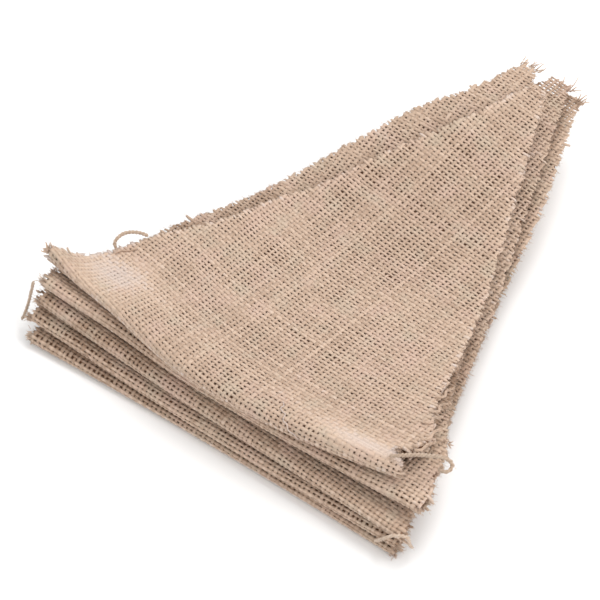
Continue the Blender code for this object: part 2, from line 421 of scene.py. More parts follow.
TUFTS = (
    Tuft("flag_1", -1, 1.0, (-0.9, -0.2, 0.2), 2.8, 14, 0.30, 0.8),
    Tuft("flag_1", -1, -5.0, (-0.9, -0.3, 0.0), 3.0, 14, 0.30, 0.4),
    Tuft("flag_2", -1, 2.0, (-0.9, -0.3, 0.1), 2.0, 60, 0.16, 0.6),
    Tuft("flag_2", -1, 9.0, (-0.8, 0.3, 0.3), 2.6, 40, 0.18, -0.4),
    Tuft("flag_1", -1, 3.0, (-0.9, 0.1, 0.0), 2.6, 30, 0.18, -0.4),
    Tuft("flag_3", -1, 0.0, (-0.9, -0.4, -0.1), 2.2, 80, 0.16, 0.4),
    Tuft("flag_4", -1, 0.0, (-0.9, -0.4, -0.2), 2.2, 80, 0.16, 0.4),
    Tuft("flag_5", -1, 2.0, (-0.9, -0.4, -0.2), 2.4, 60, 0.16, 0.6),
    Tuft("flag_5", -1, -5.0, (-1.0, -0.3, -0.2), 5.4, 9, 0.36, 0.6),
    Tuft("flag_5", 1, 0.0, (0.7, -0.3, 0.1), 2.2, 24, 0.18, -0.6),
    Tuft("flag_4", 1, 0.0, (0.7, -0.3, 0.1), 2.2, 24, 0.18, -0.6),
    Tuft("flag_2", 1, 1.0, (0.7, -0.2, 0.1), 2.2, 24, 0.18, 0.2),
    # Darker fibres in the notch of the top flag's right cut: real fuzz with painted shade of the
    # hollow under its edge
    Tuft("flag_1", 1, 11.0, (0.7, -0.1, 0.1), 2.8, 50, 0.16, -1.0),
    Tuft("flag_1", 1, 15.0, (0.7, -0.3, 0.1), 2.8, 30, 0.16, -0.6),
    Tuft("flag_1", 1, 19.0, (0.9, 0.3, 0.3), 3.2, 8, 0.22, 0.6),
    Tuft("flag_1", 1, 34.0, (0.9, 0.3, 0.3), 3.2, 8, 0.22, 0.4),
    Tuft("flag_1", -0.6, 196.0, (0.5, 0.8, 0.1), 3.6, 12, 0.26, 1.9),
    Tuft("flag_1", 0.6, 195.0, (0.9, 0.3, -0.1), 4.0, 12, 0.24, 1.7),
    Tuft("flag_1", 1, 188.0, (0.9, 0.1, -0.2), 3.0, 10, 0.22, 1.5),
    Tuft("flag_2", 1, 34.0, (0.8, -0.1, 0.2), 2.6, 14, 0.24, 0.4),
    Tuft("flag_2", 1, 48.0, (0.8, -0.1, 0.2), 2.6, 14, 0.24, 0.4),
    Tuft("flag_2", -0.8, 219.0, (0.1, 0.9, 0.3), 4.6, 8, 0.28, 1.4),
    Tuft("flag_2", 0.0, 219.0, (0.5, 0.8, 0.3), 5.0, 8, 0.28, 1.6),
    Tuft("flag_2", 1, 218.0, (0.9, 0.5, 0.3), 4.2, 6, 0.28, 1.2),
    Tuft("flag_3", 0.4, 229.0, (0.0, 0.9, 0.8), 7.4, 5, 0.30, -0.2),
    Tuft("flag_3", 1, 228.0, (0.2, 0.9, 0.8), 7.4, 5, 0.30, -0.2),
    Tuft("flag_4", 0.6, 231.0, (0.2, 0.9, 0.7), 5.8, 5, 0.30, -0.2),
    Tuft("flag_4", 1, 230.0, (0.5, 0.7, 0.7), 5.4, 5, 0.30, -0.2),
)


@dataclass(frozen=True)
class SurfaceThread:
    """A loose thread or lock of strands that lies on a flag, by places on its flat cloth."""

    flag: str
    radius: float
    lift: float
    tone: float
    route: tuple[tuple[float, float], ...]
    strands: int = 1


SURFACE_THREADS = (
    SurfaceThread("flag_1", 0.20, 0.75, 2.6, (
        (34.6, 10.2), (36.2, 8.8), (35.9, 7.2), (37.9, 6.0), (39.6, 5.4), (40.2, 3.4),
        (42.6, 2.6), (44.0, 1.0), (46.9, 0.3), (48.4, -1.2),
    )),
    SurfaceThread("flag_1", 0.30, 0.9, -0.6, (
        (-77.0, 28.5), (-75.6, 31.2), (-73.6, 32.4), (-70.8, 35.6),
    )),
    SurfaceThread("flag_2", 0.46, 1.3, -2.6, (
        (-73.0, 56.0), (-70.6, 59.4), (-69.8, 62.6), (-67.0, 65.4), (-65.6, 69.6),
    )),
    SurfaceThread("flag_1", 0.31, 0.8, 0.4, (
        (91.0, 13.2), (93.2, 15.0), (93.4, 18.2), (95.4, 21.6),
    ), 4),
    SurfaceThread("flag_1", 0.34, 0.9, 0.9, (
        (89.6, 19.6), (92.2, 21.6), (91.6, 25.4), (93.4, 29.0),
    ), 4),
    SurfaceThread("flag_1", 0.32, 0.9, 0.8, (
        (84.4, 28.4), (87.4, 29.6), (87.0, 32.6), (89.4, 34.6),
    ), 4),
    SurfaceThread("flag_1", 0.30, 0.8, 0.3, (
        (83.4, 34.8), (86.2, 36.8), (84.8, 39.6), (86.6, 42.0),
    ), 4),
    SurfaceThread("flag_1", 0.29, 0.8, 0.2, (
        (80.6, 43.0), (83.2, 45.2), (82.0, 48.2), (83.8, 51.0),
    ), 4),
)


@dataclass(frozen=True)
class Lock:
    """How the strands of a lock twist round each other and taper, and a thread's step."""

    step: float = 0.5
    twist: float = 0.7
    apart: float = 1.1
    root_rings: int = 4
    root_size: float = 0.6
    end_size: float = 0.35
    tone_noise: float = 0.6


LOCK = Lock()


@dataclass(frozen=True)
class Fibre:
    """How a loose fibre bends and tapers, as shares of its size, and how a bunch varies."""

    thick_from: float = 0.2
    lowest: float = 0.2
    bend_least: float = 0.1
    bend_most: float = 0.45
    middle: float = 0.55
    middle_bend: float = 0.25
    end: float = 0.9
    thick_taper: Triple = (1.0, 0.85, 0.55)
    thin_taper: tuple[float, float] = (1.0, 0.5)
    aim_noise: float = 0.42
    shortest: float = 0.35
    thinnest: float = 0.7
    thickest: float = 1.3
    tone_noise: float = 0.5


FIBRE = Fibre()


@dataclass(frozen=True)
class Fuzz:
    """The short fibres that stand off the cloth."""

    top_count: int = 2600
    lower_count: int = 800
    length: float = 1.7
    shortest: float = 0.4
    radius: float = 0.05
    lift: float = 0.35
    scatter: float = 0.6
    rise: float = 0.45
    tone: float = 1.0


FUZZ = Fuzz()


class System(Enum):
    """The two yarn systems of the weave."""

    BACKWARD = "back"
    ACROSS = "across"


class Section(Enum):
    """The cross sections of a tube, by their number of corners."""

    THIN = 3
    BLUNT = 4
    ROUND = 6


@dataclass(frozen=True)
class Finish:
    """A cloth or yarn colour with its patches and its surface."""

    name: str
    colour: Triple
    # Colour at the lowest tone, where mostly painted shade lies
    dark: Triple
    warm: Triple
    cool: Triple
    # Colour at the highest tone: a painted highlight on lit ridges and corners, and the paler
    # colour of loose fibre ends
    highlight_and_pale_fibre: Triple
    roughness: float
    bump: float


YARN_FINISH = Finish("jute_yarns", (0.600, 0.454, 0.350), (0.22, 0.122, 0.068),
                     (0.60, 0.430, 0.345), (0.53, 0.437, 0.335), (0.60, 0.505, 0.462),
                     0.92, 0.5)
# The dark sheet's colours are painted shade, for the shadowed layers seen through the holes
PAINTED_SHADE_FINISH = Finish("weave_painted_shade", (0.225, 0.112, 0.058), (0.07, 0.032, 0.016),
                       (0.20, 0.094, 0.048), (0.16, 0.088, 0.046), (0.20, 0.105, 0.056),
                       0.95, 0.2)
LOOSE_FINISH = Finish("loose_jute", (0.52, 0.400, 0.310), (0.32, 0.230, 0.165),
                      (0.52, 0.380, 0.280), (0.45, 0.370, 0.290), (0.60, 0.500, 0.420),
                      0.9, 0.6)


@dataclass(frozen=True)
class Ramp:
    """A range of values over which a colour's share rises from 0 to its most."""

    low: float
    high: float
    most: float = 1.0


@dataclass(frozen=True)
class Jute:
    """What every jute material shares: where its colours show, its gloss and its grain."""

    pale_gain: float = 1.16
    paleness: Ramp = Ramp(-5.0, 2.4)
    warmth: Ramp = Ramp(0.50, 0.70, 0.65)
    warmth_scale: float = 78.0
    coolness: Ramp = Ramp(0.52, 0.72, 0.55)
    coolness_scale: float = 97.0
    # Tones over which the painted highlight colour, also that of paler fibre ends, takes over
    highlight_and_pale_fibre_ramp: Ramp = Ramp(1.3, 3.1, 0.9)
    patch_detail: float = 3.0
    specular: float = 0.2
    sheen: float = 0.15
    sheen_roughness: float = 0.6
    grain_scale: float = 2600.0
    grain_detail: float = 2.0
    grain_depth: float = 0.00025


JUTE = Jute()


@dataclass(frozen=True)
class View:
    """The camera's angles, in degrees, and its distance from a point of the stack."""

    azimuth: float = 45.4
    elevation: float = 48.0
    distance: float = 1150.0
    target: Triple = (-3.4, 40.6, 30.0)
    lens: float = 167.1


@dataclass(frozen=True)
class Lamp:
    """A soft square studio light aimed at the stack, in metres and watts."""

    name: str
    place: Triple
    size: float
    power: float
    colour: Triple


LAMPS = (
    Lamp("key", (-0.1, 0.5, 1.5), 0.7, 11.0, (1.0, 0.99, 0.975)),
    Lamp("fill", (1.1, 0.4, 0.9), 1.2, 7.5, (1.0, 0.99, 0.98)),
    Lamp("front", (0.2, -1.3, 1.0), 1.2, 3.8, (1.0, 0.99, 0.98)),
)
SKY_STRENGTH = 0.76


@dataclass(frozen=True)
class LooseYarn:
    """A loose yarn: the node it stands for, its thickness and its route."""

    name: str
    radius: float
    route: tuple[Triple, ...]


LOOSE_YARNS = (
    LooseYarn("yarn_back_left", 0.70, (
        (-81.5, 8.4, 26.1), (-82.8, 9.5, 28.6), (-82.8, 13.8, 29.8), (-81.0, 17.7, 29.4),
        (-78.9, 20.7, 28.1), (-76.4, 22.4, 26.9),
    )),
    LooseYarn("yarn_curl_right", 0.72, (
        (83.9, 3.5, 36.9), (87.3, 4.9, 39.0), (91.5, 9.3, 39.6), (96.1, 15.3, 37.6),
        (98.8, 19.0, 35.6), (101.0, 20.4, 33.8), (102.3, 19.8, 32.3), (102.3, 17.7, 31.4),
        (100.8, 16.5, 31.0), (98.6, 15.9, 31.0),
    )),
    LooseYarn("yarn_low_right", 0.62, (
        (92.3, -12.3, 5.2), (96.6, -14.0, 11.3), (101.7, -12.6, 17.3), (105.6, -8.6, 16.6),
        (105.2, -6.4, 9.6), (105.4, -4.4, 5.4),
    )),
    LooseYarn("yarn_left", 0.60, (
        (-90.8, -29.2, 27.0), (-91.0, -30.6, 22.0), (-92.1, -31.9, 15.0),
        (-92.7, -34.1, 9.0), (-94.0, -35.0, 5.0),
    )),
    LooseYarn("yarn_left_link", 0.50, (
        (-89.6, -29.3, 22.4), (-88.9, -28.6, 21.6), (-88.2, -27.7, 20.8),
    )),
)


def to_metres(points: np.ndarray) -> np.ndarray:
    """Turn places in the flags' axes into metres in the frame's axes.

    Args:
        points: Places in millimetres, with the axes last.

    Returns:
        The same places in metres.
    """
    shifted = np.array(points, dtype=float)
    shifted[..., 0] -= STACK.centre[0]
    shifted[..., 1] -= STACK.centre[1]
    return shifted * MM


def smooth(value: np.ndarray) -> np.ndarray:
    """Ease values from 0 to 1 with level ends.

    Args:
        value: Values, cut to the range from 0 to 1.

    Returns:
        The eased values.
    """
    part = np.clip(value, 0.0, 1.0)
    return part * part * (3.0 - 2.0 * part)


def unit(vectors: np.ndarray) -> np.ndarray:
    """Return vectors at length one."""
    return vectors / np.maximum(np.linalg.norm(vectors, axis=-1, keepdims=True), 1e-9)


def free_axes(centres: np.ndarray) -> tuple[np.ndarray, np.ndarray, np.ndarray]:
    """Return the unit directions along, beside and above a yarn that lies free.

    Args:
        centres: The yarn's ring centres, n x 3.

    Returns:
        The three sets of directions, n x 3 each.
    """
    tangents = unit(np.gradient(centres, axis=0))
    sides = unit(np.cross(tangents, ASKEW))
    return tangents, sides, np.cross(sides, tangents)


def cloth_axes(centres: np.ndarray, normals: np.ndarray) -> tuple[np.ndarray, np.ndarray]:
    """Return the directions beside and above a yarn that lies along the cloth.

    Args:
        centres: The yarn's ring centres, n x 3.
        normals: The cloth's normals there, n x 3.

    Returns:
        The two sets of directions, n x 3 each.
    """
    tangents = unit(np.gradient(centres, axis=0))
    sides = unit(np.cross(normals, tangents))
    return sides, np.cross(tangents, sides)


def to_object(name: str, mesh: bpy.types.Mesh, material: bpy.types.Material) -> bpy.types.Object:
    """Return a mesh as an object of the scene, in its material.

    Args:
        name: The object's name.
        mesh: The mesh.
        material: The material.

    Returns:
        The object, linked to the scene.
    """
    mesh.materials.append(material)
    piece = bpy.data.objects.new(name, mesh)
    bpy.context.scene.collection.objects.link(piece)
    return piece


def station_weights(x: np.ndarray, y: np.ndarray) -> tuple[np.ndarray, ...]:
    """Return the share that each station of a Loft has at places in plan.

    Args:
        x: Places along the folds.
        y: Places back to the points.

    Returns:
        Eight sets of shares, in the order of Loft.values.
    """
    behind = y - STACK.fold_line_y - STACK.fold_line_slope * x
    past_fold = smooth(behind / STACK.back_row)
    past_back = smooth((behind - STACK.back_row) / (STACK.middle_row - STACK.back_row))
    past_middle = smooth((behind - STACK.middle_row) / (STACK.point_row - STACK.middle_row))
    across = np.clip(x / STACK.half_width, -1.0, 1.0)
    side = np.abs(across) ** STACK.side_power
    left = np.where(across < 0.0, side, 0.0)
    right = np.where(across > 0.0, side, 0.0)
    fold = 1.0 - past_fold
    back = past_fold - past_back
    return (fold * left, fold * (1.0 - side), fold * right,
            back * left, back * (1.0 - side), back * right,
            past_back - past_middle, past_middle)


def blend(loft: Loft, weights: tuple[np.ndarray, ...]) -> np.ndarray:
    """Return a Loft's height for sets of station weights."""
    return sum(height * share for height, share in zip(loft.values(), weights))


def layer_heights(name: str, x: np.ndarray, y: np.ndarray) -> tuple[np.ndarray, np.ndarray]:
    """Return the undersides and topsides of a flag's slab of the stack.

    Args:
        name: The flag's node.
        x: Places along the folds.
        y: Places back to the points.

    Returns:
        The heights of the underside and of the topside.
    """
    weights = station_weights(x, y)
    low = 0.0
    high = 0.0
    for flag in FLAGS:
        low = high + blend(AIR_BELOW[flag.name], weights)
        high = low + blend(LAYER_LOFT[flag.name], weights)
        if flag.name == name:
            break
    tilt = 1.0 + x / STACK.half_width * (STACK.middle_tilt * weights[6]
                                         + STACK.point_tilt * weights[7])
    return low * tilt, high * tilt


def swell_height(x: np.ndarray, y: np.ndarray) -> np.ndarray:
    """Return how far the top flag's upper layer is raised at places in plan.

    Args:
        x: Places along the folds.
        y: Places back to the points.

    Returns:
        The heights added.
    """
    total = 0.0
    for swell in SWELLS:
        reach = ((x - swell.x) / swell.reach_x) ** 2 + ((y - swell.y) / swell.reach_y) ** 2
        total = total + swell.height * np.exp(-reach)
    return total


def stray(flag: Flag, side: Side, place: np.ndarray) -> np.ndarray:
    """Return how far a cut or a fold strays outwards at places along it.

    Args:
        flag: The flag.
        side: The cut or the fold.
        place: Places along it.

    Returns:
        Distances outwards.
    """
    total = 0.0 * place
    for trim in TRIMS:
        if (trim.flag, trim.side) == (flag.name, side):
            total = total + trim.outwards * np.exp(-((place - trim.place) / trim.reach) ** 2)
    return total


def soft_noise(rows: int, columns: int, cells_down: int, cells_across: int,
               chance: np.random.Generator) -> np.ndarray:
    """Return an array of smooth noise between about -1 and 1.

    Args:
        rows: Size of the array downwards.
        columns: Size of the array across.
        cells_down: How many random cells the noise has downwards.
        cells_across: How many random cells the noise has across.
        chance: The seeded random generator.

    Returns:
        The noise, rows x columns.
    """
    grid = chance.uniform(-1.0, 1.0, (cells_down + 2, cells_across + 2))
    down = np.linspace(0.0, cells_down, rows)
    across = np.linspace(0.0, cells_across, columns)
    row = np.minimum(down.astype(int), cells_down)
    column = np.minimum(across.astype(int), cells_across)
    part_down = smooth(down - row)[:, None]
    part_across = smooth(across - column)[None, :]
    near = grid[row][:, column] * (1.0 - part_across) + grid[row][:, column + 1] * part_across
    far = (grid[row + 1][:, column] * (1.0 - part_across)
           + grid[row + 1][:, column + 1] * part_across)
    return near * (1.0 - part_down) + far * part_down


def smooth_route(points: np.ndarray, step: float) -> np.ndarray:
    """Return evenly spaced places along a smooth curve through a route's points.

    Args:
        points: The route's points.
        step: About how far apart the places are.

    Returns:
        The places, from the first point to the last.
    """
    knots = np.vstack((2.0 * points[0] - points[1], points, 2.0 * points[-1] - points[-2]))
    fine = []
    for before, start, end, after in zip(knots, knots[1:], knots[2:], knots[3:]):
        steps = max(1, round(float(np.linalg.norm(end - start)) / step))
        for number in range(steps):
            t = number / steps
            fine.append(0.5 * (2.0 * start + (end - before) * t
                               + (2.0 * before - 5.0 * start + 4.0 * end - after) * t ** 2
                               + (3.0 * start - before - 3.0 * end + after) * t ** 3))
    fine.append(knots[-2])
    return np.array(fine)


class FlagShape:
    """The folded shape of one flag, for places on its flat cloth."""

    def __init__(self, flag: Flag) -> None:
        """Work out the flag's own axes and how far its cloth reaches.

        Args:
            flag: The flag in plan.
        """
        self.flag = flag
        left = np.array((flag.left_x, flag.left_y))
        right = np.array((flag.right_x, flag.right_y))
        self.middle = (left + right) / 2.0
        self.width = float(np.linalg.norm(right - left))
        self.along = (right - left) / self.width
        self.back = np.array((-self.along[1], self.along[0]))
        self.upper = self.to_flag(flag.upper_x, flag.upper_y)
        self.lower = self.to_flag(flag.lower_x, flag.lower_y)
        self.length = max(self.upper[1], self.lower[1])
        nose_height = LAYER_LOFT[flag.name].fold_centre - STACK.solid_thickness
        self.nose_arc = (math.pi * math.hypot(STACK.fold_depth, nose_height / 2.0)
                         / math.sqrt(2.0))
        self.top_reach = self.cloth_reach(self.upper[1])
        self.bottom_reach = -self.cloth_reach(self.lower[1])

    def to_flag(self, x: float, y: float) -> tuple[float, float]:
        """Return a place in plan as (along the fold, back from the fold)."""
        offset = np.array((x, y)) - self.middle
        return float(offset @ self.along), float(offset @ self.back)

    def cloth_reach(self, back: float) -> float:
        """Return how much cloth reaches a place that far behind the fold."""
        return back - STACK.fold_depth + self.nose_arc / 2.0

    def place(self, across: np.ndarray, cloth: np.ndarray) -> np.ndarray:
        """Return the folded positions of points of the flat cloth.

        Args:
            across: Places along the fold.
            cloth: Places along the cloth, from the fold, below 0 on the lower layer.

        Returns:
            The positions in millimetres, with the axes last.
        """
        half_arc = self.nose_arc / 2.0
        turn = math.pi / 2.0 * np.clip(cloth / half_arc, -1.0, 1.0)
        behind = (STACK.fold_depth * (1.0 - np.cos(turn))
                  + np.maximum(0.0, np.abs(cloth) - half_arc))
        share = np.minimum(1.0, np.abs(2.0 * across / self.width))
        bow = self.flag.bow * (1.0 - share * share) + stray(self.flag, Side.FOLD, across)
        bow = bow * (1.0 - behind / self.length)
        x = self.middle[0] + self.along[0] * across + self.back[0] * (behind - bow)
        y = self.middle[1] + self.along[1] * across + self.back[1] * (behind - bow)
        low, high = layer_heights(self.flag.name, x, y)
        low = low + STACK.solid_thickness / 2.0
        high = high - STACK.solid_thickness / 2.0
        if self.flag.name == TOP_FLAG:
            high = high + swell_height(x, y)
        height = (low + high) / 2.0 + (high - low) / 2.0 * np.sin(turn)
        return np.stack((x, y, height), -1)

    def normals(self, across: np.ndarray, cloth: np.ndarray) -> np.ndarray:
        """Return the cloth's unit normals, outwards on both layers.

        Args:
            across: Places along the fold.
            cloth: Places along the cloth, from the fold.

        Returns:
            The normals, with the axes last.
        """
        step = 0.4
        run = self.place(across + step, cloth) - self.place(across - step, cloth)
        rise = self.place(across, cloth + step) - self.place(across, cloth - step)
        return unit(np.cross(run, rise))

    def edges(self, cloth: np.ndarray) -> tuple[np.ndarray, np.ndarray]:
        """Return the left and right cuts of the flat cloth at distances from the fold.

        Args:
            cloth: Places along the cloth, from the fold.

        Returns:
            The places along the fold of the left and of the right cut.
        """
        half = self.width / 2.0
        end = STACK.end_width / 2.0
        blunt = STACK.point_width / 2.0
        up = cloth >= 0.0
        tip_x = np.where(up, self.upper[0], self.lower[0])
        tip_reach = np.where(up, self.top_reach, -self.bottom_reach)
        share = np.clip((np.abs(cloth) - end) / (tip_reach - end), 0.0, 1.0)
        belly = 4.0 * share * (1.0 - share)
        left = (-half * (1.0 - share) + (tip_x - blunt) * share
                - self.flag.left_swell * belly - stray(self.flag, Side.LEFT, np.abs(cloth)))
        right = (half * (1.0 - share) + (tip_x + blunt) * share
                 + self.flag.right_swell * belly + stray(self.flag, Side.RIGHT, np.abs(cloth)))
        return left, right


@dataclass
class TubePile:
    """Gathers tubes into one mesh, with a tone for each point."""

    points: list[np.ndarray] = field(default_factory=list)
    faces: list[np.ndarray] = field(default_factory=list)
    tones: list[np.ndarray] = field(default_factory=list)
    count: int = 0

    def add_tube(self, centres: np.ndarray, sides: np.ndarray, ups: np.ndarray,
                 widths: np.ndarray, heights: np.ndarray, section: Section,
                 tone: np.ndarray | float) -> None:
        """Add a closed tube of flattened rings.

        Args:
            centres: Ring centres, n x 3.
            sides: Unit sideways directions at the rings, n x 3.
            ups: Unit upward directions at the rings, n x 3.
            widths: Half widths of the rings.
            heights: Half heights of the rings.
            section: The rings' cross section.
            tone: Tone of the rings, one number or n numbers.
        """
        rings = len(centres)
        corners = section.value
        turn = 0.0 if section is Section.THIN else 0.5
        angles = 2.0 * math.pi * (np.arange(corners) + turn) / corners
        wide, tall = BLUNT_SECTION if section is Section.BLUNT else (1.0, 1.0)
        spread = (np.cos(angles)[None, :, None] * wide * widths[:, None, None]
                  * sides[:, None, :]
                  + np.sin(angles)[None, :, None] * tall * heights[:, None, None]
                  * ups[:, None, :])
        points = (centres[:, None, :] + spread).reshape(-1, 3)
        points[:, 2] = np.maximum(points[:, 2], LOWEST)
        start = self.count + corners * np.arange(rings - 1)[:, None]
        here = np.arange(corners)[None, :]
        after = (here + 1) % corners
        quads = np.stack((start + here, start + after, start + corners + after,
                          start + corners + here), -1).reshape(-1, 4)
        self.points.append(points)
        self.faces.append(quads)
        self.tones.append(np.repeat(np.broadcast_to(tone, (rings,)), corners))
        self.faces.append(self.caps(self.count, self.count + corners * (rings - 1), section))
        self.count += len(points)

    @staticmethod
    def caps(first: int, last: int, section: Section) -> np.ndarray:
        """Return the faces that close a tube; a triangle repeats its last corner.

        Args:
            first: Index of the first ring's first point.
            last: Index of the last ring's first point.
            section: The rings' cross section.

        Returns:
            The faces, four indices each.
        """
        if section is Section.THIN:
            return np.array([[first + 2, first + 1, first, first],
                             [last, last + 1, last + 2, last + 2]])
        if section is Section.BLUNT:
            return np.array([[first + 3, first + 2, first + 1, first],
                             [last, last + 1, last + 2, last + 3]])
        return np.array([[first + 3, first + 2, first + 1, first],
                         [first + 5, first + 4, first + 3, first],
                         [last, last + 1, last + 2, last + 3],
                         [last, last + 3, last + 4, last + 5]])

    def make(self, name: str, material: bpy.types.Material) -> bpy.types.Object:
        """Return the gathered tubes as one smooth object.

        Args:
            name: The object's name.
            material: Its material.

        Returns:
            The object, linked to the scene.
        """
        points = to_metres(np.concatenate(self.points))
        quads = np.concatenate(self.faces)
        triangle = quads[:, 2] == quads[:, 3]
        sizes = np.where(triangle, 3, 4)
        starts = np.concatenate(([0], np.cumsum(sizes)[:-1]))
        keep = np.ones(quads.shape, dtype=bool)
        keep[triangle, 3] = False
        loops = quads[keep]
        mesh = bpy.data.meshes.new(name)
        mesh.vertices.add(len(points))
        mesh.vertices.foreach_set("co", points.astype(np.float32).ravel())
        mesh.loops.add(len(loops))
        mesh.loops.foreach_set("vertex_index", loops.astype(np.int32))
        mesh.polygons.add(len(quads))
        mesh.polygons.foreach_set("loop_start", starts.astype(np.int32))
        mesh.polygons.foreach_set("loop_total", sizes.astype(np.int32))
        mesh.update(calc_edges=True)
        mesh.validate()
        tone = mesh.attributes.new("tone", "FLOAT", "POINT")
        tone.data.foreach_set("value", np.concatenate(self.tones).astype(np.float32))
        mesh.shade_smooth()
        return to_object(name, mesh, material)


@dataclass
class Fluff:
    """Adds loose fibres to a pile, one by one or in bunches."""

    pile: TubePile
    chance: np.random.Generator

    def add_fibre(self, start: np.ndarray, direction: np.ndarray, length: float,
                  radius: float, tone: float) -> None:
        """Add one tapering fibre, curved and round where it is thick enough to show it.

        Args:
            start: Where it leaves the yarn.
            direction: Its unit direction there.
            length: Its length.
            radius: Its radius at the start.
            tone: Its tone.
        """
        bend = (unit(self.chance.normal(0.0, 1.0, 3)) * length
                * self.chance.uniform(FIBRE.bend_least, FIBRE.bend_most))
        middle = start + direction * length * FIBRE.middle + bend * FIBRE.middle_bend
        end = start + direction * length * FIBRE.end + bend
        thick = radius > FIBRE.thick_from
        centres = np.stack((start, middle, end) if thick else (start, end))
        centres[:, 2] = np.maximum(centres[:, 2], FIBRE.lowest)
        _, sides, ups = free_axes(centres)
        sizes = radius * np.array(FIBRE.thick_taper if thick else FIBRE.thin_taper)
        section = Section.ROUND if thick else Section.THIN
        self.pile.add_tube(centres, sides, ups, sizes, sizes, section, tone)

    def add_bunch(self, start: np.ndarray, direction: np.ndarray, length: float,
                  count: int, radius: float, reach: float, tone: float) -> None:
        """Add a bunch of fibres round one place.

        Args:
            start: The middle of the bunch.
            direction: Its main unit direction.
            length: The longest fibre.
            count: How many fibres it has.
            radius: The fibres' radius.
            reach: How far apart their roots are.
            tone: The bunch's tone.
        """
        for _ in range(count):
            aim = unit(direction + self.chance.normal(0.0, FIBRE.aim_noise, 3))
            root = start + self.chance.normal(0.0, reach, 3)
            self.add_fibre(root, aim, length * self.chance.uniform(FIBRE.shortest, 1.0),
                           radius * self.chance.uniform(FIBRE.thinnest, FIBRE.thickest),
                           tone + self.chance.normal(0.0, FIBRE.tone_noise))


